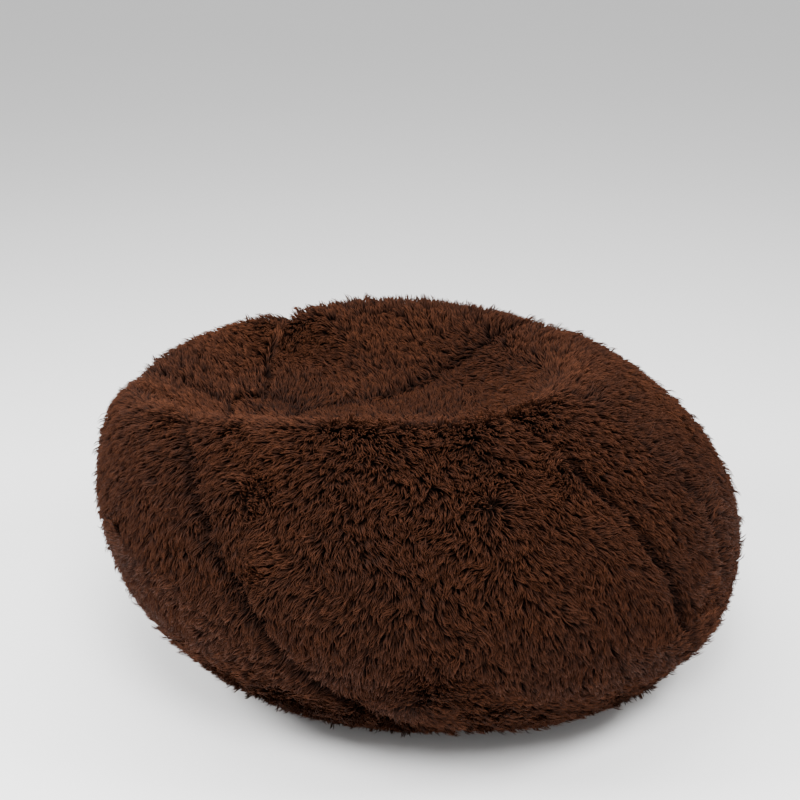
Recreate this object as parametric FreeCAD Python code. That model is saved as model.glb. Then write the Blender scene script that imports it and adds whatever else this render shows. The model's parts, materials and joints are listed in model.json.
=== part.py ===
"""Sat-in bean bag chair: a long-pile cover of five gores, a zipped liner and a loose filling.

Millimetres, +Z up, the origin on the floor under the middle of the bag. The front is towards -Y.
The bag starts as a plump ellipsoid. body_point() then settles it on the floor, leans it and
presses the seat hollow into it, so every layer and every zip is placed by that one function.
Longitude and latitude are measured about the axis through the two caps, which is tipped over.
"""
import FreeCAD, Part
import math
import os

from FreeCAD import Rotation, Vector

# The plump bag, before anyone sits in it.
overall_width = 1218.0          # along X, over the pile
overall_depth = 1130.0          # along Y, over the pile
plump_height = 758.0            # along Z, over the pile
sunk_into_floor = 60.0          # how much of the plump shape the floor flattens
floor_softness = 34.0           # how gently the side rolls onto the floor
floor_trim = 1.5                # pile pressed away, so that the contact patch is flat

# The way it leans and is sat in.
lean = 0.155                    # rise of the left side, and fall of the right, per unit height
drift_x = -22.0                 # how far the top has slumped sideways
drift_y = 16.0                  # and towards the back
fullness_above = 0.038          # filling pushed out to the right, over the widest level
fullness_below = 0.076          # and under it
hollow_centre_x = -137.0
hollow_centre_y = 43.0
hollow_half_length = 470.0      # along X
hollow_half_width = 408.0       # along Y
hollow_depth = 265.0
hollow_reach = 0.9              # share of the height over which the filling is squeezed

# The cover: gores between two small caps.
gore_count = 5
first_seam = 246.0              # degrees
cap_axis_tilt = 30.0            # degrees away from vertical
cap_axis_heading = 164.0        # degrees from +X towards +Y
cap_radius = 76.0
gore_crown = 16.0               # how far the middle of a gore stands above its seams
seam_gap = 1.0                  # stitch line between neighbouring panels
cover_thickness = 22.0          # backing cloth and pile

# The liner inside the cover, and the filling inside the liner.
liner_clearance = 5.0
liner_thickness = 2.0
fill_clearance = 1.0

# Zips. Both lie in the seam at the back, each on a circular arc.
zip_seam = 3                    # counted from the first seam
cover_zip_latitudes = (36.0, -28.0)
liner_zip_latitudes = (22.0, -20.0)
cover_tape_depth = 11.0         # below the tips of the pile
tape_width = 16.0
tape_thickness = 1.0
coil_width = 2.6                # of one row of teeth, which the tape meets
coil_height = 2.6
coil_gap = 1.8                  # between the two rows of teeth
slider_length = 14.0
slider_width = 13.0
slider_plate = 1.3
slider_clearance = 0.5          # round the tapes and the teeth
slider_post_length = 3.0        # the post that joins the slider's plates, at its nose
post_clearance = 0.4            # between the post and each row of teeth
stop_length = 4.0
end_slack = 2.0                 # between a stop and the slider
pull_length = 32.0
pull_width = 9.0
pull_thickness = 2.0
pull_clearance = 0.4            # between the pull and the slider's loop
tail_slack = 2.5                # tape past the pull's tip, with the slider at the end of its run
loop_wire = 1.4
channel_clearance = 0.3         # between a tape and the panel beside it
channel_reach = 60.0            # how far a zip's channel is cut outwards

# How finely the curved panels are shaped.
rows = 31
columns = 9
cap_rows = 6

half_width = overall_width / 2
half_depth = overall_depth / 2
half_height = plump_height / 2
settled_height = plump_height - sunk_into_floor
liner_inset = cover_thickness + liner_clearance
fill_inset = liner_inset + liner_thickness + fill_clearance
gore_angle = 360.0 / gore_count
cap_latitude = 90.0 - math.degrees(cap_radius / half_width)
tape_edge = coil_gap / 2 + coil_width
channel_half_width = tape_edge + tape_width + channel_clearance
slider_rest = stop_length + end_slack + slider_length / 2
tape_tail = pull_length - slider_rest + tail_slack
slider_plate_level = coil_height / 2 + slider_clearance
pull_level = slider_plate_level + slider_plate + pull_thickness / 2 + pull_clearance
loop_half_length = pull_thickness / 2 + pull_clearance + loop_wire


def cap_axes():
    """Unit vectors at longitude 0, at longitude 90 and through the top cap."""
    tilt = math.radians(cap_axis_tilt)
    heading = math.radians(cap_axis_heading)
    axis = Vector(
        math.sin(tilt) * math.cos(heading), math.sin(tilt) * math.sin(heading), math.cos(tilt)
    )
    east = Vector(0, 1, 0).cross(axis).normalize()
    return east, axis.cross(east), axis


EAST, NORTH, CAP_AXIS = cap_axes()


def ease(share):
    """0 below 0, 1 above 1, and smooth between."""
    share = min(max(share, 0.0), 1.0)
    return share * share * (3 - 2 * share)


def crown(longitude):
    """0 on a seam and 1 half way between two seams."""
    share = ((longitude - first_seam) / gore_angle) % 1.0
    return 4 * share * (1 - share)


def held_by_floor(height):
    """A height above a layer's resting level, flattened where the floor holds the layer up."""
    if height > floor_softness:
        return height
    return max(height + floor_softness, 0.0) ** 2 / (4 * floor_softness)


def body_point(longitude, latitude, inset):
    """A point of the bag, inset from the tips of the pile. The angles are in degrees."""
    lon = math.radians(longitude)
    lat = math.radians(latitude)
    out = EAST * (math.cos(lat) * math.cos(lon)) + NORTH * (math.cos(lat) * math.sin(lon))
    out = out + CAP_AXIS * math.sin(lat)
    swell = 1 + gore_crown * (crown(longitude) - 1) * math.cos(lat) / half_width
    fullness = fullness_above if out.z > 0 else fullness_below
    swell *= 1 + fullness * (2 * max(out.x, 0.0) * out.z) ** 2
    x = (half_width - inset) * out.x * swell
    y = (half_depth - inset) * out.y * swell
    z = (half_height - inset) * out.z * swell + half_height - sunk_into_floor
    rest_level = inset - floor_trim
    z = rest_level + held_by_floor(z - rest_level)
    leaning = 1 - lean * (x + drift_x * z / settled_height) / half_width
    x += drift_x * z / settled_height
    y += drift_y * z / settled_height
    z *= leaning
    off_centre = math.hypot(
        (x - hollow_centre_x) / hollow_half_length, (y - hollow_centre_y) / hollow_half_width
    )
    squeeze = ease(z / (hollow_reach * settled_height))
    z -= hollow_depth * ease(1 - off_centre ** 2) * squeeze
    return Vector(x, y, z)


def knots(count, degree):
    """Evenly spaced knots, with their multiplicities, for a curve that reaches its end poles."""
    spans = count - degree
    values = [i / spans for i in range(spans + 1)]
    return values, [degree + 1] + [1] * (spans - 1) + [degree + 1]


def sample_places(count, degree=3):
    """Where along 0..1 a smooth shape is sampled, so that it can serve as the spline's poles."""
    values, repeats = knots(count, degree)
    flat = [value for value, repeat in zip(values, repeats) for _ in range(repeat)]
    return [sum(flat[i + 1:i + degree + 1]) / degree for i in range(count)]


def spline_face(poles, first_degree=3):
    """A face over a grid of poles."""
    first_knots, first_repeats = knots(len(poles), first_degree)
    second_knots, second_repeats = knots(len(poles[0]), 3)
    surface = Part.BSplineSurface()
    surface.buildFromPolesMultsKnots(
        poles, first_repeats, second_repeats, first_knots, second_knots,
        False, False, first_degree, 3,
    )
    return surface.toShape()


def grid(west, east, south, north, inset, gap=0.0, high=rows):
    """Poles of a patch between two longitudes and two latitudes, kept half a gap off both seams."""
    poles = []
    for u in sample_places(columns):
        line = []
        for v in sample_places(high):
            latitude = south + v * (north - south)
            ring = half_width * math.cos(math.radians(latitude))
            off_seam = math.degrees(gap / 2 / ring) if gap else 0.0
            longitude = west + off_seam + u * (east - west - 2 * off_seam)
            line.append(body_point(longitude, latitude, inset))
        poles.append(line)
    return poles


def closed_solid(faces):
    """Sews faces into one solid."""
    skin = Part.Compound(faces)
    skin.sewShape(0.001)
    solid = Part.Solid(skin.Shells[0])
    if solid.Volume < 0:
        solid.reverse()
    return solid


def gore(index, outer_inset, inner_inset):
    """One gore: two curved faces joined round their edge."""
    west = first_seam + index * gore_angle
    limit = cap_latitude - math.degrees(seam_gap / half_width)
    outer = grid(west, west + gore_angle, -limit, limit, outer_inset, seam_gap)
    inner = grid(west, west + gore_angle, -limit, limit, inner_inset, seam_gap)
    faces = [spline_face(outer), spline_face(inner)]
    for side in (0, -1):
        faces.append(spline_face([outer[side], inner[side]], 1))
        end_outer = [line[side] for line in outer]
        end_inner = [line[side] for line in inner]
        faces.append(spline_face([end_outer, end_inner], 1))
    return closed_solid(faces)


def cap(side, outer_inset, inner_inset):
    """The small round panel where the gores meet: side is 1 for the top and -1 for the bottom."""
    faces = []
    for index in range(gore_count):
        west = first_seam + index * gore_angle
        span = (west, west + gore_angle, side * cap_latitude, side * 90.0)
        outer = grid(*span, outer_inset, high=cap_rows)
        inner = grid(*span, inner_inset, high=cap_rows)
        rim = [[line[0] for line in outer], [line[0] for line in inner]]
        faces += [spline_face(outer), spline_face(inner), spline_face(rim, 1)]
    return closed_solid(faces)


def filling():
    """The loose filling, as one closed mass."""
    faces = []
    for index in range(gore_count):
        west = first_seam + index * gore_angle
        east = west + gore_angle
        faces.append(spline_face(grid(west, east, -cap_latitude, cap_latitude, fill_inset)))
        for side in (1, -1):
            patch = grid(west, east, side * cap_latitude, side * 90.0, fill_inset, high=cap_rows)
            faces.append(spline_face(patch))
    return closed_solid(faces)


class ZipArc:
    """The circular arc that a zip follows down a seam. Locally x is across it, y along it from
    the top, and z outwards from the middle of the tapes."""

    def __init__(self, latitudes, inset):
        longitude = first_seam + zip_seam * gore_angle
        top, bottom = latitudes
        ends = [body_point(longitude, lat, inset) for lat in (top, (top + bottom) / 2, bottom)]
        circle = Part.Arc(*ends).toShape().Curve
        self.centre = circle.Center
        self.radius = circle.Radius
        self.start = (ends[0] - self.centre).normalize()
        self.axis = self.start.cross(ends[1] - self.centre).normalize()
        self.length = self.radius * self.start.getAngle(ends[2] - self.centre)
        self.travel = self.length - 2 * slider_rest

    def turn(self, length):
        """The angle, in degrees, of a length along the arc."""
        return math.degrees(length / self.radius)

    def place(self, shape, along):
        """Moves a shape from the local frame to a distance along the arc."""
        forward = self.axis.cross(self.start)
        frame = Rotation(self.axis * -1, forward, self.start, "ZXY")
        shape.Placement = FreeCAD.Placement(self.centre + self.start * self.radius, frame)
        shape.rotate(self.centre, self.axis, self.turn(along))
        return shape

    def strip(self, across, outwards, along):
        """A bar bent along the arc. Each argument is its low and high limit that way."""
        bar = Part.makeBox(
            across[1] - across[0], 1.0, outwards[1] - outwards[0],
            Vector(across[0], 0.0, outwards[0]),
        )
        section = self.place(bar, along[0]).Faces[2]
        return section.revolve(self.centre, self.axis, self.turn(along[1] - along[0]))

    def channel(self, inwards):
        """The slot that the zip leaves in the panels, from a depth inside the tapes outwards."""
        width = (-channel_half_width, channel_half_width)
        tail = tape_tail + channel_clearance
        return self.strip(width, (-inwards, channel_reach), (-tail, self.length + tail))


def zip_rows(arc, name):
    """The two tapes, the two rows of teeth and the two stops of a zip."""
    pieces = {}
    half_tape = tape_thickness / 2
    half_coil = coil_height / 2
    teeth = (stop_length, arc.length - stop_length)
    for side, word in ((-1, "left"), (1, "right")):
        tape = sorted((side * tape_edge, side * (tape_edge + tape_width)))
        coil = sorted((side * coil_gap / 2, side * tape_edge))
        pieces[name + "_zip_tape_" + word] = arc.strip(
            tape, (-half_tape, half_tape), (-tape_tail, arc.length + tape_tail)
        )
        pieces[name + "_zip_teeth_" + word] = arc.strip(coil, (-half_coil, half_coil), teeth)
    width = (-tape_edge, tape_edge)
    height = (-half_coil, half_coil)
    pieces[name + "_zip_top_stop"] = arc.strip(width, height, (0, stop_length))
    pieces[name + "_zip_bottom_stop"] = arc.strip(
        width, height, (arc.length - stop_length, arc.length)
    )
    return pieces


def box_between(low, high):
    """A box from its low corner to its high corner."""
    size = Vector(*high) - Vector(*low)
    return Part.makeBox(size.x, size.y, size.z, Vector(*low))


def slider_body():
    """Two plates over and under the teeth, joined by the post at the slider's nose."""
    half_length = slider_length / 2
    half = slider_width / 2
    inside = slider_plate_level
    outside = slider_plate_level + slider_plate
    plates = [
        box_between((-half, -half_length, -outside), (half, half_length, -inside)),
        box_between((-half, -half_length, inside), (half, half_length, outside)),
    ]
    post_half = coil_gap / 2 - post_clearance
    post = box_between(
        (-post_half, -half_length, -outside),
        (post_half, -half_length + slider_post_length, outside),
    )
    body = plates[0].fuse([plates[1], post]).removeSplitter()
    corners = [edge for edge in body.Edges if is_plate_corner(edge)]
    return body.makeFillet(slider_width / 6, corners)


def is_plate_corner(edge):
    """Whether an edge is one of the slider plates' upright corners."""
    low, high = edge.BoundBox.ZMin, edge.BoundBox.ZMax
    upright = abs(high - low - slider_plate) < 0.01
    return upright and abs(abs(edge.CenterOfMass.x) - slider_width / 2) < 0.01


def slider_loop():
    """The arch on the slider that holds the pull."""
    top = pull_level + loop_half_length
    base = slider_plate_level + slider_plate
    half_wire = loop_wire / 2
    arch = box_between((-half_wire, -loop_half_length, base), (half_wire, loop_half_length, top))
    hole = loop_half_length - loop_wire
    return arch.cut(box_between((-half_wire, -hole, base), (half_wire, hole, top - loop_wire)))


def pull():
    """The pull: a tab with a round bar through the slider's loop, lying along the zip."""
    half = pull_width / 2
    low = pull_level - pull_thickness / 2
    high = pull_level + pull_thickness / 2
    reach = loop_half_length * math.sqrt(2) + pull_clearance
    opening = loop_wire / 2 + pull_clearance
    bar_end = Vector(-half, 0, pull_level)
    bar = Part.makeCylinder(pull_thickness / 2, pull_width, bar_end, Vector(1, 0, 0))
    tab = box_between((-half, 0, low), (half, pull_length, high))
    tab = tab.cut(box_between((-opening, 0, low), (opening, reach, high)))
    tab = tab.fuse(bar).removeSplitter()
    corners = [
        edge for edge in tab.Edges
        if abs(edge.CenterOfMass.y - pull_length) < 0.01 and edge.Length < pull_width / 2
    ]
    return tab.makeFillet(pull_width / 4, corners)


def below_floor():
    """Everything under the floor, within reach of the bag."""
    size = 2 * overall_width
    return Part.makeBox(size, size, size, Vector(-size / 2, -size / 2, -size))


def build():
    """Every piece by name, with the two zips' arcs."""
    cover_arc = ZipArc(cover_zip_latitudes, cover_tape_depth)
    liner_arc = ZipArc(liner_zip_latitudes, liner_inset + liner_thickness / 2)
    beside_zip = (zip_seam - 1, zip_seam)
    floor = below_floor()
    pieces = {}

    cover_channel = cover_arc.channel(cover_thickness)
    for index in range(gore_count):
        panel = gore(index, 0.0, cover_thickness).cut(floor)
        if index in beside_zip:
            panel = panel.cut(cover_channel)
        pieces["cover_gore_%d" % (index + 1)] = panel
    pieces["cover_top_cap"] = cap(1, 0.0, cover_thickness)
    pieces["cover_bottom_cap"] = cap(-1, 0.0, cover_thickness).cut(floor)
    pieces.update(zip_rows(cover_arc, "cover"))
    slider = slider_body().fuse(slider_loop()).removeSplitter()
    pieces["cover_zip_slider"] = cover_arc.place(slider, slider_rest)
    pieces["cover_zip_pull"] = cover_arc.place(pull(), slider_rest)

    liner_channel = liner_arc.channel(slider_plate_level + slider_plate + slider_clearance)
    for index in range(gore_count):
        panel = gore(index, liner_inset, liner_inset + liner_thickness)
        if index in beside_zip:
            panel = panel.cut(liner_channel)
        pieces["liner_gore_%d" % (index + 1)] = panel
    pieces["liner_top_cap"] = cap(1, liner_inset, liner_inset + liner_thickness)
    pieces["liner_bottom_cap"] = cap(-1, liner_inset, liner_inset + liner_thickness)
    pieces.update(zip_rows(liner_arc, "liner"))
    pieces["liner_zip_slider"] = liner_arc.place(slider_body(), slider_rest)
    pieces["bead_fill"] = filling().cut(liner_channel)
    return pieces, {"cover": cover_arc, "liner": liner_arc}


def say(label, vector):
    print(label, "%.4f %.4f %.4f" % tuple(vector))


def main():
    pieces, arcs = build()
    outside = Part.Compound([pieces["cover_gore_%d" % (i + 1)] for i in range(gore_count)])
    middle = outside.optimalBoundingBox(False).Center
    shift = Vector(-middle.x, -middle.y, 0)
    os.makedirs("parts", exist_ok=True)
    for name, shape in pieces.items():
        shape.translate(shift)
        shape.exportStep("parts/" + name + ".step")
        if not shape.isValid() or len(shape.Solids) != 1:
            print("check", name, shape.isValid(), len(shape.Solids))
    for name, arc in arcs.items():
        say(name + " zip centre", arc.centre + shift)
        say(name + " zip axis", arc.axis)
        print(name, "travel in degrees %.3f" % arc.turn(arc.travel), "radius %.2f" % arc.radius)
    hinge = Part.Vertex(0, 0, pull_level)
    cover_arc = arcs["cover"]
    say("pull hinge", cover_arc.place(hinge, slider_rest).Point + shift)


main()
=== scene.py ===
"""A sat-in bean bag chair with a long-pile cover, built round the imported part.

Metres, +Z up, the front towards -Y. Every cover panel becomes a knitted skin with its own pile:
tens of thousands of bent, pointed locks that stand on the skin and reach the panel's CAD surface.
"""

import json
import math

import bmesh
import bpy
import numpy as np
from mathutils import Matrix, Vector
from mathutils.bvhtree import BVHTree
from mathutils.kdtree import KDTree


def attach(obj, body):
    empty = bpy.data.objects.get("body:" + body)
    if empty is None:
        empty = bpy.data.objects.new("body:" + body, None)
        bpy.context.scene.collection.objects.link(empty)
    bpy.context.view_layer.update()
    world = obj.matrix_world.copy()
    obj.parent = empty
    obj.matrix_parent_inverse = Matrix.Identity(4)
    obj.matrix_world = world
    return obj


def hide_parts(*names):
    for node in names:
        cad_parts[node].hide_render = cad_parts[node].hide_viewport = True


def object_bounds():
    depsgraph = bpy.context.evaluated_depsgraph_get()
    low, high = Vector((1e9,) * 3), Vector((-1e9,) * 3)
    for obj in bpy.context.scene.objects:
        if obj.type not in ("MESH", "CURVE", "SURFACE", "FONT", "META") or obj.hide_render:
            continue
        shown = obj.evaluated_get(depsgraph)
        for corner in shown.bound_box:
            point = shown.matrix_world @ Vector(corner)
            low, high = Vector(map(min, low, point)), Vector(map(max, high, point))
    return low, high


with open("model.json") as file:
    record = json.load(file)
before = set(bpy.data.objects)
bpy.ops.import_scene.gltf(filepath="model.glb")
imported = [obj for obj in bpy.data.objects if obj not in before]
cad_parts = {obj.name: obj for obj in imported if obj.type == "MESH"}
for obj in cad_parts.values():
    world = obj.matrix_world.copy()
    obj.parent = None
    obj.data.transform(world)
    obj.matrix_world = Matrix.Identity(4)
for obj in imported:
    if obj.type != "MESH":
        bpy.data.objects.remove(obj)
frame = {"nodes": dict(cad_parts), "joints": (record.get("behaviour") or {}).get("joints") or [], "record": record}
nodes = frame["nodes"]
cad_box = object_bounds()

# The view.
camera_place = (0.007, -2.626, 1.571)
camera_aim = (-0.041, 0.064, 0.488)
camera_lens = 67.6

# The pile.
pile_depth = 0.015              # from the skin up to the CAD surface
pile_height = 0.022             # of a lock that stands on the skin
zip_skin_depth = 0.0105         # where the skin meets the zip's tapes
skin_thickness = 0.0016
seam_dip = 0.005                # how far the skin sinks along a seam
seam_reach = 0.036              # and how wide that valley is, from the seam
seam_trim = 0.018               # within this of a seam the locks are short and part
lock_cell = 0.0038              # one lock in each cell that the surface passes through
clump_cell = 0.0078             # one gathered clump of locks in each of these
lock_length = 0.020             # along the surface
lock_width = 0.0011             # half of it, at the root
locks_per_piece = 12000
zip_clear_half_width = 0.0088   # kept free of pile, so that the slider can pass
zip_reach = 0.030               # over which the skin and pile come down to the zip
tooth_pitch = 0.0022
stitch_pitch = 0.0034
stitch_length = 0.0026
liner_pucker = 0.003            # how far the liner sinks between its seams, at most
seed = 41

liner_panels = [
    part["node"] for part in frame["record"]["subparts"]
    if part["material_slot"] == "liner_cloth" and "zip" not in part["node"]
]
cover_panels = ["cover_gore_%d" % i for i in range(1, 6)] + ["cover_top_cap", "cover_bottom_cap"]


# ---------------------------------------------------------------- small helpers

def ease(share):
    share = np.clip(share, 0.0, 1.0)
    return share * share * (3 - 2 * share)


def unit(vectors):
    return vectors / np.maximum(np.linalg.norm(vectors, axis=-1, keepdims=True), 1e-12)


def on_surface(vectors, normals):
    """The part of each vector that lies in its surface."""
    return vectors - normals * (vectors * normals).sum(-1, keepdims=True)


def waves(points, wavelength, number):
    """A smooth random field over space, about -1 to 1, the same each time for one number."""
    rng = np.random.default_rng(number)
    total = np.zeros(len(points))
    for _ in range(9):
        direction = unit(rng.normal(size=3))
        rate = 2 * math.pi / (wavelength * rng.uniform(0.6, 1.5))
        total += np.sin(points @ direction * rate + rng.uniform(0, 2 * math.pi))
    return total / 4.5


def points_of(mesh):
    flat = np.zeros(len(mesh.vertices) * 3)
    mesh.vertices.foreach_get("co", flat)
    return flat.reshape(-1, 3)


def triangles_of(mesh):
    mesh.calc_loop_triangles()
    flat = np.zeros(len(mesh.loop_triangles) * 3, np.int64)
    mesh.loop_triangles.foreach_get("vertices", flat)
    return flat.reshape(-1, 3)


def tree_of(names):
    """A search tree over some CAD nodes."""
    places, faces = [], []
    for name in names:
        mesh = nodes[name].data
        faces += (triangles_of(mesh) + len(places)).tolist()
        places += points_of(mesh).tolist()
    return BVHTree.FromPolygons(places, faces)


def distances(tree, places):
    return np.array([tree.find_nearest(Vector(place))[3] for place in places])


def mesh_object(name, places, triangles, body, material, smooth=True):
    """A mesh from arrays of points and triangles, riding on a body."""
    mesh = bpy.data.meshes.new(name)
    mesh.vertices.add(len(places))
    mesh.vertices.foreach_set("co", np.asarray(places, np.float32).ravel())
    mesh.loops.add(triangles.size)
    mesh.loops.foreach_set("vertex_index", np.asarray(triangles, np.int32).ravel())
    mesh.polygons.add(len(triangles))
    mesh.polygons.foreach_set("loop_start", np.arange(0, triangles.size, 3, dtype=np.int32))
    mesh.polygons.foreach_set("loop_total", np.full(len(triangles), 3, np.int32))
    mesh.polygons.foreach_set("use_smooth", np.full(len(triangles), smooth))
    mesh.update(calc_edges=True)
    mesh.materials.append(material)
    piece = bpy.data.objects.new(name, mesh)
    bpy.context.scene.collection.objects.link(piece)
    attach(piece, body)
    return piece


# ---------------------------------------------------------------- materials

class Paint:
    """A material under construction: a Principled shader and short ways to add nodes."""

    def __init__(self, name, numbers):
        self.material = bpy.data.materials.new(name)
        self.material.use_nodes = True
        self.tree = self.material.node_tree
        self.shader = self.tree.nodes["Principled BSDF"]
        for key, value in numbers.items():
            self.shader.inputs[key].default_value = value
        self.place = self.node("ShaderNodeTexCoord").outputs["Object"]

    def node(self, kind, **settings):
        made = self.tree.nodes.new(kind)
        for key, value in settings.items():
            if key in made.inputs:
                made.inputs[key].default_value = value
            else:
                setattr(made, key, value)
        return made

    def link(self, source, target):
        self.tree.links.new(source, target)

    def noise(self, scale, detail=3.0):
        made = self.node("ShaderNodeTexNoise", Scale=scale, Detail=detail)
        self.link(self.place, made.inputs["Vector"])
        return made.outputs["Fac"]

    def attribute(self, name):
        return self.node("ShaderNodeAttribute", attribute_name=name).outputs["Fac"]

    def ramp(self, source, stops):
        made = self.node("ShaderNodeValToRGB")
        marks = made.color_ramp.elements
        while len(marks) < len(stops):
            marks.new(0.5)
        for mark, (place, colour) in zip(marks, stops):
            mark.position = place
            mark.color = (*colour, 1.0)
        self.link(source, made.inputs["Fac"])
        return made.outputs["Color"]

    def mix(self, kind, share, first, second):
        made = self.node("ShaderNodeMix", data_type="RGBA", blend_type=kind)
        made.inputs[0].default_value = share
        self.link(first, made.inputs[6])
        self.link(second, made.inputs[7])
        return made.outputs[2]

    def math(self, kind, first, second):
        made = self.node("ShaderNodeMath", operation=kind)
        for socket, value in zip(made.inputs, (first, second)):
            if isinstance(value, (int, float)):
                socket.default_value = value
            else:
                self.link(value, socket)
        return made.outputs[0]

    def colour(self, source):
        self.link(source, self.shader.inputs["Base Color"])

    def bump(self, height, strength, distance):
        made = self.node("ShaderNodeBump", Strength=strength, Distance=distance)
        self.link(height, made.inputs["Height"])
        self.link(made.outputs["Normal"], self.shader.inputs["Normal"])


def pile_material():
    """Fur: dark at the root, lighter at the tip, with each lock and each region a little off. The dark towards the
    root is painted shade, deep in the pile.
    """
    paint = Paint("long_pile", {
        "Roughness": 0.7, "Specular IOR Level": 0.10,
    })
    # Painted shade: each lock darkens towards its root, where the pile shades itself.
    length = paint.ramp(paint.attribute("along"), [
        (0.0, (0.0026, 0.0007, 0.0003)),
        (0.42, (0.016, 0.0045, 0.0015)),
        (0.78, (0.045, 0.0132, 0.0047)),
        (1.0, (0.090, 0.0290, 0.0115)),
    ])
    # Each lock's random tone, darker along the seams and the fold, where this is painted shade.
    each = paint.ramp(paint.attribute("tone_and_seam_shade"), [
        (0.0, (0.62, 0.58, 0.56)), (0.5, (0.95, 0.95, 0.95)), (1.0, (1.35, 1.38, 1.4)),
    ])
    region = paint.ramp(paint.noise(5.0), [(0.3, (0.82, 0.80, 0.80)), (0.7, (1.12, 1.12, 1.10))])
    paint.colour(paint.mix("MULTIPLY", 1.0, paint.mix("MULTIPLY", 1.0, length, each), region))
    return paint.material


def skin_material():
    """The knitted backing that the pile stands on."""
    paint = Paint("knitted_backing", {"Roughness": 0.9, "Specular IOR Level": 0.08})
    wale = paint.node("ShaderNodeTexWave", Scale=420.0, Distortion=1.5)
    paint.link(paint.place, wale.inputs["Vector"])
    tone = paint.ramp(paint.noise(60.0), [
        (0.3, (0.010, 0.0042, 0.0026)), (0.7, (0.021, 0.009, 0.0055)),
    ])
    paint.colour(tone)
    paint.bump(wale.outputs["Fac"], 0.5, 0.0006)
    return paint.material


def woven_material(name, dark, light, pitch):
    """A plain weave: threads both ways, with painted shade where they dip."""
    paint = Paint(name, {"Roughness": 0.85, "Specular IOR Level": 0.1})
    threads = []
    for direction in ("X", "Z"):
        wave = paint.node("ShaderNodeTexWave", Scale=0.5 / pitch, bands_direction=direction)
        paint.link(paint.place, wave.inputs["Vector"])
        threads.append(wave.outputs["Fac"])
    weave = paint.math("MULTIPLY", *threads)
    cloudy = paint.math("MULTIPLY", paint.noise(35.0), 0.4)
    # Painted shade: darker in the dips between threads, plus random clouding.
    tone = paint.math("ADD", paint.math("MULTIPLY", weave, 0.6), cloudy)
    paint.colour(paint.ramp(tone, [(0.15, dark), (0.75, light)]))
    paint.bump(weave, 0.6, pitch * 0.25)
    return paint.material


def nylon_material():
    """Moulded zip teeth, faintly cloudy."""
    paint = Paint("nylon_teeth", {"Roughness": 0.38})
    paint.colour(paint.ramp(paint.noise(400.0), [
        (0.3, (0.012, 0.007, 0.005)), (0.7, (0.028, 0.016, 0.011)),
    ]))
    return paint.material


def metal_material():
    """Antique brown enamel over zinc, rubbed brighter in patches."""
    paint = Paint("antique_enamel", {"Metallic": 0.85, "Roughness": 0.36})
    wear = paint.ramp(paint.noise(330.0, 6.0), [
        (0.35, (0.055, 0.032, 0.022)), (0.62, (0.11, 0.068, 0.045)), (0.78, (0.30, 0.21, 0.15)),
    ])
    paint.colour(wear)
    paint.bump(paint.noise(900.0), 0.25, 0.0002)
    return paint.material


def bead_material():
    """The loose filling: pale beads and crumbs of foam, with painted shade in the gaps between them."""
    paint = Paint("beads_and_crumbs", {"Roughness": 0.7})
    cells = paint.node("ShaderNodeTexVoronoi", Scale=190.0)
    paint.link(paint.place, cells.inputs["Vector"])
    # Painted shade: pale at each bead's middle, darker towards the gaps between beads.
    paint.colour(paint.ramp(cells.outputs["Distance"], [
        (0.1, (0.86, 0.85, 0.80)), (0.8, (0.45, 0.43, 0.38)),
    ]))
    paint.bump(cells.outputs["Distance"], 0.9, 0.003)
    return paint.material


materials = {
    "cover_fur": pile_material(),
    "liner_cloth": woven_material(
        "liner_weave", (0.010, 0.008, 0.007), (0.045, 0.036, 0.030), pitch=0.0012,
    ),
    "zip_tape": woven_material(
        "zip_tape_weave", (0.004, 0.0017, 0.0009), (0.024, 0.0105, 0.0058), pitch=0.0009,
    ),
    "zip_teeth": nylon_material(),
    "zip_metal": metal_material(),
    "filling": bead_material(),
}
skin_paint = skin_material()


def paint_nodes():
    """Each CAD node that still shows takes its slot's material."""
    slots = {part["node"]: part["material_slot"] for part in frame["record"]["subparts"]}
    for name, node in nodes.items():
        if not node.hide_render:
            node.data.materials.clear()
            node.data.materials.append(materials[slots[name]])


# ---------------------------------------------------------------- the zip's arc

class ZipArc:
    """The circular arc of a zip: its centre and axis are its slider's joint."""

    def __init__(self, joint_name, tape):
        joint = next(j for j in frame["joints"] if j["name"] == joint_name)
        self.centre = np.array(joint["pos_m"])
        self.axis = unit(np.array(joint["axis"]))
        tape_points = points_of(nodes[tape].data) - self.centre
        flat = tape_points - np.outer(tape_points @ self.axis, self.axis)
        self.ahead = unit(flat.mean(0))
        self.beside = np.cross(self.axis, self.ahead)
        self.radius = np.linalg.norm(flat, axis=1).mean()
        angles = self.local(points_of(nodes[tape].data))[:, 1]
        self.tape_angles = (angles.min(), angles.max())

    def local(self, places):
        """Across the zip, angle along it, and distance from the centre."""
        offset = places - self.centre
        across = offset @ self.axis
        flat = offset - np.outer(across, self.axis)
        angle = np.arctan2(flat @ self.beside, flat @ self.ahead)
        return np.stack([across, angle, np.linalg.norm(flat, axis=1)], 1)

    def world(self, local):
        across, angle, radius = local.T
        out = np.outer(np.cos(angle), self.ahead) + np.outer(np.sin(angle), self.beside)
        return self.centre + out * radius[:, None] + np.outer(across, self.axis)


cover_arc = ZipArc("cover_zip_travel", "cover_zip_tape_left")
liner_arc = ZipArc("liner_zip_travel", "liner_zip_tape_left")


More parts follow.
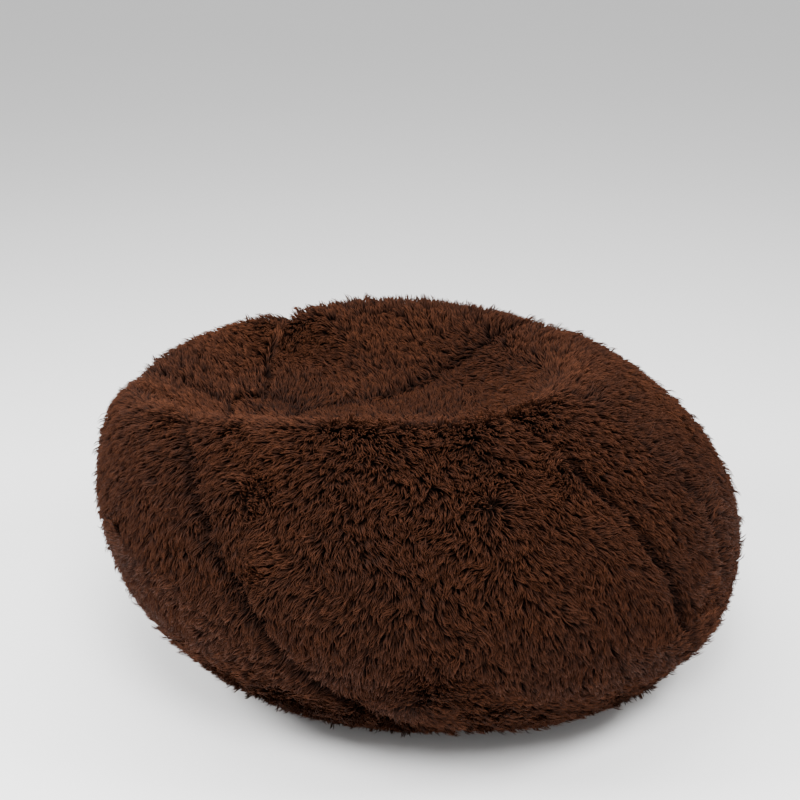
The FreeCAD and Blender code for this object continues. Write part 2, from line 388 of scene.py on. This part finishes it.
def keep_off_zip(places, locks):
    """Keeps each lock out of the slider's path, on the side of the zip that its root is on."""
    local = cover_arc.local(places).reshape(locks, -1, 3)
    across, angle, radius = np.moveaxis(local, 2, 0)
    side = np.where(across[:, :ring_sides].mean(1, keepdims=True) < 0, -1.0, 1.0)
    low, high = cover_arc.tape_angles
    over = (angle > low) & (angle < high) & (across * side < zip_clear_half_width)
    over &= (radius > cover_arc.radius - pile_depth) & (across * side > -lock_length * 2)
    local[:, :, 0] = np.where(over, side * zip_clear_half_width, across)
    moved = cover_arc.world(local.reshape(-1, 3))
    return np.where(over.reshape(-1, 1), moved, places)


# ---------------------------------------------------------------- panels

bag_low, bag_high = (np.array(corner) for corner in cad_box)
bag_middle = (bag_low + bag_high) / 2
bag_size = bag_high - bag_low
seat = frame["record"]["physics"]["openings"][0]["box_m"]
seat_middle = np.mean(seat, axis=0)

# A crease pressed into the right side: how far round from the front, and its heights as shares
# of the bag's own.
fold_bearing = 65
fold_heights = (0.48, 0.75)

cover_tree = tree_of(cover_panels)
fill_tree = tree_of(["bead_fill"])
zip_tree = tree_of(["cover_zip_tape_left", "cover_zip_tape_right"])
liner_zip_tree = tree_of(["liner_zip_tape_left", "liner_zip_tape_right"])


def on_bag(bearing, height):
    """The place on the bag that is so many degrees round from the front, anticlockwise from
    above, at a share of the bag's height."""
    angle = math.radians(bearing)
    inwards = Vector((-math.sin(angle), math.cos(angle), 0.0))
    middle = Vector((*bag_middle[:2], bag_size[2] * height))
    return np.array(cover_tree.ray_cast(middle - inwards * 2, inwards)[0])


def fold_points():
    """Points down the crease, which the pile parts along as it does at a seam."""
    return [on_bag(fold_bearing, height) for height in np.linspace(*fold_heights, 90)]


class Panel:
    """The outward face of a cover panel: welded points, triangles, normals and its own edge."""

    def __init__(self, name):
        self.name = name
        mesh = nodes[name].data
        places = points_of(mesh)
        _, first, welded = np.unique(
            np.round(places / 1e-5).astype(np.int64), axis=0, return_index=True, return_inverse=True
        )
        places = places[first]
        triangles = welded.ravel()[triangles_of(mesh)]
        corners = places[triangles]
        facing = unit(np.cross(corners[:, 1] - corners[:, 0], corners[:, 2] - corners[:, 0]))
        keep = []
        for middle, normal in zip(corners.mean(1), facing):
            near, _, _, distance = fill_tree.find_nearest(Vector(middle))
            away = unit(middle - np.array(near))
            keep.append(distance > pile_depth and away @ normal > 0.5)
        triangles = triangles[np.array(keep)]
        used, triangles = np.unique(triangles, return_inverse=True)
        self.triangles = triangles.reshape(-1, 3)
        self.places = places[used]
        self.normals = self.smooth_normals()
        self.edges = self.edge_pairs()
        self.edge_tree = self.tree_along_edge()

    def smooth_normals(self):
        corners = self.places[self.triangles]
        normal = np.cross(corners[:, 1] - corners[:, 0], corners[:, 2] - corners[:, 0])
        total = np.zeros_like(self.places)
        for corner in range(3):
            np.add.at(total, self.triangles[:, corner], normal)
        return unit(total)

    def edge_pairs(self):
        """The directed edges that belong to one triangle only."""
        sides = np.concatenate([self.triangles[:, pair] for pair in ([0, 1], [1, 2], [2, 0])])
        key = np.sort(sides, 1)
        _, where, count = np.unique(key, axis=0, return_inverse=True, return_counts=True)
        return sides[count[where.ravel()] == 1]

    def tree_along_edge(self):
        """A tree of points 2 mm apart round the panel's edge."""
        found = []
        for start, end in zip(self.places[self.edges[:, 0]], self.places[self.edges[:, 1]]):
            steps = max(1, int(np.linalg.norm(end - start) / 0.002))
            found += [start + (end - start) * i / steps for i in range(steps)]
        found += fold_points()
        tree = KDTree(len(found))
        for index, place in enumerate(found):
            tree.insert(place, index)
        tree.balance()
        return tree

    def to_edge(self, places):
        """The vector from each place to the nearest point of the panel's edge, or of the fold."""
        return np.array([self.edge_tree.find(place)[0] for place in places]) - places

    def scatter(self, cell, rng):
        """Places and normals spread evenly over the panel, about one in each cell."""
        corners = self.places[self.triangles]
        crossed = np.cross(corners[:, 1] - corners[:, 0], corners[:, 2] - corners[:, 0])
        area = np.linalg.norm(crossed, axis=1) / 2
        count = int(area.sum() / cell ** 2 * 4)
        chosen = rng.choice(len(area), count, p=area / area.sum())
        first, second = rng.random((2, count))
        over = first + second > 1
        first[over], second[over] = 1 - first[over], 1 - second[over]
        share = np.stack([1 - first - second, first, second], 1)[:, :, None]
        places = (corners[chosen] * share).sum(1)
        normals = unit((self.normals[self.triangles[chosen]] * share).sum(1))
        _, kept = np.unique(np.floor(places / cell).astype(np.int64), axis=0, return_index=True)
        return places[kept], normals[kept]


def skin_depth(panel, places):
    """How far the skin lies below the CAD surface."""
    by_zip = ease(distances(zip_tree, places) / zip_reach)
    off_seam = ease(np.linalg.norm(panel.to_edge(places), axis=1) / seam_reach)
    dip = seam_dip * (1 - off_seam) ** 1.5
    return zip_skin_depth + (pile_depth - zip_skin_depth + dip) * by_zip


def make_skin(panel):
    """The knitted skin of a panel, as a thin closed shell."""
    depth = skin_depth(panel, panel.places)[:, None]
    top = panel.places - panel.normals * depth
    bottom = top - panel.normals * skin_thickness
    count = len(top)
    start, end = panel.edges.T
    triangles = np.concatenate([
        panel.triangles,
        panel.triangles[:, ::-1] + count,
        np.stack([start, start + count, end], 1),
        np.stack([end, start + count, end + count], 1),
    ])
    skin = mesh_object(
        panel.name + "_skin", np.concatenate([top, bottom]), triangles, "bag", skin_paint
    )
    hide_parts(panel.name)
    return skin


# ---------------------------------------------------------------- the pile

# Whorls and partings, listed: degrees round from the front, height as a share of the bag's,
# how far it reaches, its strength, and its turn in degrees, where 0 runs straight outwards.
whorls = [
    (15, 0.84, 0.035, 1.2, 0),
    (35, 0.88, 0.040, 1.2, -80),
    (-35, 0.85, 0.045, 1.0, 60),
    (-30, 0.70, 0.040, 1.0, 150),
    (5, 0.25, 0.060, 1.0, 170),
    (80, 0.35, 0.080, 1.1, -60),
    (-80, 0.40, 0.080, 1.1, 120),
    (130, 0.55, 0.090, 1.2, 80),
    (180, 0.30, 0.080, 1.0, 40),
    (-140, 0.60, 0.090, 1.2, -50),
]


def turned(vectors, normals, degrees):
    angle = np.radians(degrees)[..., None]
    return vectors * np.cos(angle) + np.cross(normals, vectors) * np.sin(angle)


def comb(places, normals):
    """The way the pile lies, and how firmly: 0 where it stands up, 1 where it lies over.
    It runs outwards and down, turned by slow waves and by the whorls."""
    flow = places - bag_middle
    flow[:, 2] = -0.25 - 0.3 * np.abs(flow[:, 2])
    flow = unit(on_surface(flow, normals))
    drift = 48 * waves(places, 0.42, 3) + 34 * waves(places, 0.13, 8)
    flow = turned(flow, normals, drift + 26 * waves(places, 0.045, 12))
    for bearing, height, reach, strength, turn in whorls:
        away = on_surface(places - on_bag(bearing, height), normals)
        gap = np.linalg.norm(away, axis=1, keepdims=True)
        near = np.exp(-(gap / reach) ** 2 / 2)
        away = turned(away / (gap + 0.012), normals, np.full(len(places), float(turn)))
        flow = flow * (1 - 0.8 * near) + away * (strength * near)
    flow = on_surface(flow, normals)
    return unit(flow), ease(np.linalg.norm(flow, axis=1) / 0.8)


def crushed(places):
    """1 where the seat has pressed the pile flat, 0 away from it."""
    offset = (places - seat_middle) / (0.30, 0.24, 0.12)
    return 1 - ease((np.linalg.norm(offset, axis=1) - 0.6) / 0.7)


lock_stations = (0.0, 0.36, 0.70, 1.0)      # shares of a lock's length, root to tip


def lock_lines(panel, rng):
    """The centre line of each lock, as points at four stations, with its station and its tone, which is random per
    lock and clump and holds painted shade by the seams and the fold.
    """
    places, normals = panel.scatter(lock_cell, rng)
    middles, middle_normals = panel.scatter(clump_cell, rng)
    clumps = KDTree(len(middles))
    for index, place in enumerate(middles):
        clumps.insert(place, index)
    clumps.balance()
    clump = np.array([clumps.find(place)[1] for place in places])

    spread, firm = comb(middles, middle_normals)
    spread = turned(spread, middle_normals, rng.normal(0, 17, len(middles)))
    reach = rng.uniform(0.75, 1.3, len(middles)) * (0.35 + 0.65 * firm)
    height = rng.uniform(0.72, 1.22, len(middles))
    wild = rng.random(len(middles)) < 0.10
    reach[wild] *= 1.25
    height[wild] *= 1.25
    tone = rng.normal(0.5, 0.14, len(middles))

    depth = skin_depth(panel, places)
    edge = panel.to_edge(places)
    by_zip = 1 - ease(distances(zip_tree, places) / zip_reach)
    by_seam = (1 - ease(np.linalg.norm(edge, axis=1) / seam_trim)) * (1 - by_zip)
    flat = crushed(places)
    stray = (0.2 + 0.9 * (1 - firm[clump]))[:, None]
    direction = spread[clump] + rng.normal(0, 1, places.shape) * stray
    direction += unit(on_surface(edge, normals)) * (0.9 * by_zip - 1.3 * by_seam)[:, None]
    direction = unit(on_surface(direction, normals))

    run = lock_length * reach[clump] * rng.uniform(0.8, 1.15, len(places)) * (1 - 0.62 * by_seam)
    stand = pile_height * np.minimum(depth / pile_depth, 1)
    rise = stand * height[clump] * rng.uniform(0.85, 1.1, len(places))
    rise *= (1 - 0.42 * flat) * (1 - 0.62 * by_seam)
    run *= 1 + 0.25 * flat
    bend = np.cross(normals, direction) * (rng.normal(0, 0.22, len(places)) * run)[:, None]

    root = places - normals * depth[:, None]
    middle_depth = skin_depth(panel, middles)
    middle_stand = pile_height * np.minimum(middle_depth / pile_depth, 1)
    clump_root = middles - middle_normals * middle_depth[:, None]
    clump_tip = clump_root + spread * (lock_length * reach)[:, None]
    clump_tip += middle_normals * (middle_stand * height)[:, None]
    gather = 0.42 * (1 - by_seam)
    lines = []
    for station in lock_stations:
        point = root + normals * (rise * (1 - (1 - station) ** 2.2))[:, None]
        point = point + direction * (run * station ** 1.35)[:, None]
        point = point + bend * (station * (1 - station) * 2)
        pull = (gather * station ** 1.5)[:, None]
        aim = clump_root[clump] + (clump_tip - clump_root)[clump] * station
        level = ((aim - point) * normals).sum(1, keepdims=True) * normals
        point = point + (aim - point - level * 0.6) * pull
        lines.append(point)
    # Painted shade: locks by a seam or the fold are made darker, as if the valley shaded them.
    tone_and_seam_shade = np.clip(tone[clump] + rng.normal(0, 0.13, len(places)) - 0.4 * by_seam, 0, 1)
    return np.stack(lines, 1), normals, tone_and_seam_shade


ring_widths = (1.0, 1.0, 0.72)  # at each station but the tip, as shares of the lock's width
ring_sides = 3


def spikes(lines, normals, tone_and_seam_shade):
    """Closed three-sided spikes round the centre lines: points, triangles and their marks."""
    count = len(lines)
    rings = []
    for station, share in enumerate(ring_widths):
        ahead = unit(lines[:, station + 1] - lines[:, max(station - 1, 0)])
        side = unit(np.cross(ahead, normals))
        up = np.cross(side, ahead)
        for corner in range(ring_sides):
            angle = 2 * math.pi * corner / ring_sides + math.pi / 2
            offset = side * math.cos(angle) * 1.1 + up * math.sin(angle) * 0.8
            rings.append(lines[:, station] + offset * lock_width * share)
    places = np.stack([*rings, lines[:, -1]], 1)
    each = places.shape[1]
    faces = [(2, 1, 0)]
    for station in range(len(ring_widths) - 1):
        for corner in range(ring_sides):
            low = station * ring_sides + corner
            next_low = station * ring_sides + (corner + 1) % ring_sides
            faces.append((low, next_low, low + ring_sides))
            faces.append((next_low, next_low + ring_sides, low + ring_sides))
    last = (len(ring_widths) - 1) * ring_sides
    for corner in range(ring_sides):
        faces.append((last + corner, last + (corner + 1) % ring_sides, each - 1))
    triangles = (np.arange(count)[:, None, None] * each + np.array(faces)[None]).reshape(-1, 3)
    along = np.tile(np.repeat(lock_stations, (3, 3, 3, 1)), count)
    around = np.tile([0.15, 0.5, 0.85] * 3 + [0.5], count)
    return places.reshape(-1, 3), triangles, along, around, np.repeat(tone_and_seam_shade, each)


def bake_layer(mesh, around, along, locks):
    """Gives each lock its own cell in the texture map, root to tip."""
    across = math.ceil(math.sqrt(locks))
    each = len(around) // locks
    cell = np.repeat(np.arange(locks), each)
    u = (cell % across + around) / across
    v = (cell // across + 0.12 + 0.76 * along) / across
    corner = np.zeros(len(mesh.loops), np.int32)
    mesh.loops.foreach_get("vertex_index", corner)
    layer = mesh.uv_layers.new(name="OFBake")
    layer.data.foreach_set("uv", np.stack([u, v], 1)[corner].astype(np.float32).ravel())


def make_pile(panel, number):
    """The pile of a panel, in as many pieces as its locks need."""
    rng = np.random.default_rng(seed + number)
    lines, normals, tone_and_seam_shade = lock_lines(panel, rng)
    order = np.argsort(lines[:, 0, 0] * 0.6 + lines[:, 0, 2])
    pieces = math.ceil(len(order) / locks_per_piece)
    for index, chosen in enumerate(np.array_split(order, pieces)):
        places, triangles, along, around, tones_and_seam_shade = spikes(lines[chosen], normals[chosen], tone_and_seam_shade[chosen])
        places = keep_off_zip(places, len(chosen))
        places[:, 2] = np.maximum(places[:, 2], 0.0004)
        name = "%s_pile_%d" % (panel.name, index + 1)
        pile = mesh_object(name, places, triangles, "bag", materials["cover_fur"])
        bake_layer(pile.data, around, along, len(chosen))
        for mark, values in (("along", along), ("tone_and_seam_shade", tones_and_seam_shade)):
            layer = pile.data.attributes.new(mark, "FLOAT", "POINT")
            layer.data.foreach_set("value", values.astype(np.float32))
        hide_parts(panel.name)


# ---------------------------------------------------------------- zip teeth and stitches

def rounded_block(rings=6, sides=12, squareness=0.55):
    """Points on a rounded block that fills the unit cube, and its triangles."""
    def squared(value):
        return math.copysign(abs(value) ** squareness, value)

    points = [(0.0, 0.0, -1.0)]
    for ring in range(1, rings):
        up = math.pi * (ring / rings - 0.5)
        for side in range(sides):
            turn = 2 * math.pi * side / sides
            flat = squared(math.cos(up))
            across, along = squared(math.cos(turn)), squared(math.sin(turn))
            points.append((flat * across, flat * along, squared(math.sin(up))))
    points.append((0.0, 0.0, 1.0))
    top = len(points) - 1
    faces = []
    for side in range(sides):
        after = (side + 1) % sides
        faces.append((0, 1 + after, 1 + side))
        for ring in range(rings - 2):
            low = 1 + ring * sides
            faces.append((low + side, low + after, low + sides + side))
            faces.append((low + after, low + sides + after, low + sides + side))
        low = 1 + (rings - 2) * sides
        faces.append((low + side, low + after, top))
    return np.array(points), np.array(faces)


def blocks_along(arc, name, slot, across, radius, angles, pitch, length, lean=0.0):
    """A row of rounded blocks along a zip's arc, each leaning a little, as one piece."""
    shape, faces = rounded_block()
    count = max(2, int((angles[1] - angles[0]) * arc.radius / pitch))
    step = (angles[1] - angles[0]) / count
    places = []
    for index in range(count):
        angle = angles[0] + step * (index + 0.5)
        local = np.empty_like(shape)
        local[:, 0] = np.mean(across) + shape[:, 0] * (across[1] - across[0]) / 2
        local[:, 1] = angle + (shape[:, 1] * length / 2 + shape[:, 0] * lean) / arc.radius
        local[:, 2] = np.mean(radius) + shape[:, 2] * (radius[1] - radius[0]) / 2
        places.append(arc.world(local))
    each = len(shape)
    triangles = (np.arange(count)[:, None, None] * each + faces[None]).reshape(-1, 3)
    return mesh_object(name, np.concatenate(places), triangles, "bag", materials[slot])


def make_teeth(arc, side, prefix):
    """The moulded teeth of one side, in place of that side's plain strip."""
    node = "%s_zip_teeth_%s" % (prefix, side)
    local = arc.local(points_of(nodes[node].data))
    low, high = local.min(0), local.max(0)
    teeth = blocks_along(
        arc, node + "_row", "zip_teeth", (low[0], high[0]), (low[2], high[2]),
        (low[1], high[1]), tooth_pitch, tooth_pitch * 0.78, lean=0.0003,
    )
    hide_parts(node)


def make_stitches(arc, side, prefix):
    """Two rows of stitches that hold a tape to its panel."""
    node = "%s_zip_tape_%s" % (prefix, side)
    local = arc.local(points_of(nodes[node].data))
    low, high = local.min(0), local.max(0)
    edge = low[0] if abs(low[0]) > abs(high[0]) else high[0]
    for row, inset in enumerate((0.0016, 0.0034)):
        middle = edge - math.copysign(inset, edge)
        blocks_along(
            arc, "%s_stitches_%d" % (node, row + 1), "zip_tape", (middle - 0.0003, middle + 0.0003),
            (high[2] - 0.0002, high[2] + 0.0004), (low[1] + 0.01, high[1] - 0.01),
            stitch_pitch, stitch_length,
        )


# ---------------------------------------------------------------- liner and filling

def fine_mesh(name, longest):
    """A CAD node's points and triangles, welded and divided until no side is too long."""
    work = bmesh.new()
    work.from_mesh(nodes[name].data)
    bmesh.ops.remove_doubles(work, verts=work.verts, dist=1e-5)
    for _ in range(6):
        long_sides = [side for side in work.edges if side.calc_length() > longest]
        if not long_sides:
            break
        bmesh.ops.subdivide_edges(work, edges=long_sides, cuts=1)
        bmesh.ops.triangulate(work, faces=work.faces)
    work.normal_update()
    places = np.array([point.co[:] for point in work.verts])
    normals = np.array([point.normal[:] for point in work.verts])
    triangles = np.array([[point.index for point in face.verts] for face in work.faces])
    work.free()
    return places, normals, triangles


def make_liner(name):
    """A liner panel, puckered inwards by the filling's weight between its seams."""
    places, _, triangles = fine_mesh(name, 0.011)
    nearest = np.array([fill_tree.find_nearest(Vector(place))[0] for place in places])
    outwards = unit(places - nearest)
    sink = liner_pucker * (0.5 + 0.32 * waves(places, 0.09, 31) + 0.18 * waves(places, 0.03, 32))
    sink *= ease((distances(liner_zip_tree, places) - 0.004) / 0.03)
    places = places - outwards * np.clip(sink, 0, liner_pucker)[:, None]
    liner = mesh_object(
        name + "_cloth", places, triangles, "bag", materials["liner_cloth"]
    )
    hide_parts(name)


def make_filling():
    """The loose filling: its skin of beads and crumbs lies just under the liner."""
    places, normals, triangles = fine_mesh("bead_fill", 0.012)
    crumbs = np.random.default_rng(seed).uniform(0, 0.003, len(places))
    sink = liner_pucker + 0.001 + crumbs + 0.002 * (1 + waves(places, 0.05, 33))
    places = places - normals * sink[:, None]
    filling = mesh_object(
        "bead_fill_heap", places, triangles, "bag", materials["filling"]
    )
    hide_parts("bead_fill")


# ---------------------------------------------------------------- the stage

def make_camera():
    data = bpy.data.cameras.new("camera")
    data.lens = camera_lens
    data.sensor_width = 36.0
    data.clip_end = 100.0
    camera = bpy.data.objects.new("camera", data)
    camera.location = camera_place
    sight = Vector(camera_aim) - Vector(camera_place)
    camera.rotation_euler = sight.to_track_quat("-Z", "Y").to_euler()
    bpy.context.scene.collection.objects.link(camera)
    bpy.context.scene.camera = camera


def make_light(name, place, aim, size, power):
    data = bpy.data.lights.new(name, "AREA")
    data.shape = "DISK"
    data.size = size
    data.energy = power
    light = bpy.data.objects.new(name, data)
    light.location = place
    light.rotation_euler = (Vector(aim) - Vector(place)).to_track_quat("-Z", "Y").to_euler()
    bpy.context.scene.collection.objects.link(light)


def make_stage():
    """A pale floor that runs out of sight, under a bright even sky and four soft lights."""
    size = 30.0
    mesh = bpy.data.meshes.new("floor")
    corners = [(-size, -size, 0), (size, -size, 0), (size, size, 0), (-size, size, 0)]
    mesh.from_pydata(corners, [], [(0, 1, 2, 3)])
    floor = bpy.data.objects.new("floor", mesh)
    bpy.context.scene.collection.objects.link(floor)
    paint = Paint("pale_floor", {"Roughness": 0.7})
    paint.colour(paint.ramp(paint.noise(0.4), [(0.0, (0.86, 0.86, 0.86)), (1.0, (0.90, 0.90, 0.90))]))
    mesh.materials.append(paint.material)
    world = bpy.data.worlds.new("studio")
    world.use_nodes = True
    world.node_tree.nodes["Background"].inputs["Color"].default_value = (1.0, 1.0, 1.0, 1.0)
    world.node_tree.nodes["Background"].inputs["Strength"].default_value = 0.85
    bpy.context.scene.world = world
    middle = tuple(bag_middle)
    make_light("key", (0.2, -2.3, 3.1), middle, 1.5, 170.0)
    make_light("overhead", (-0.3, -0.1, 3.1), middle, 2.4, 90.0)
    make_light("left", (-2.5, -0.7, 2.2), middle, 1.2, 150.0)
    make_light("right", (2.3, -0.6, 2.8), middle, 1.2, 120.0)


# ---------------------------------------------------------------- everything, in order

make_camera()
make_stage()
for number, name in enumerate(cover_panels):
    panel = Panel(name)
    make_skin(panel)
    make_pile(panel, number)
for prefix, arc in (("cover", cover_arc), ("liner", liner_arc)):
    for side in ("left", "right"):
        make_teeth(arc, side, prefix)
        make_stitches(arc, side, prefix)
for name in liner_panels:
    make_liner(name)
make_filling()
paint_nodes()
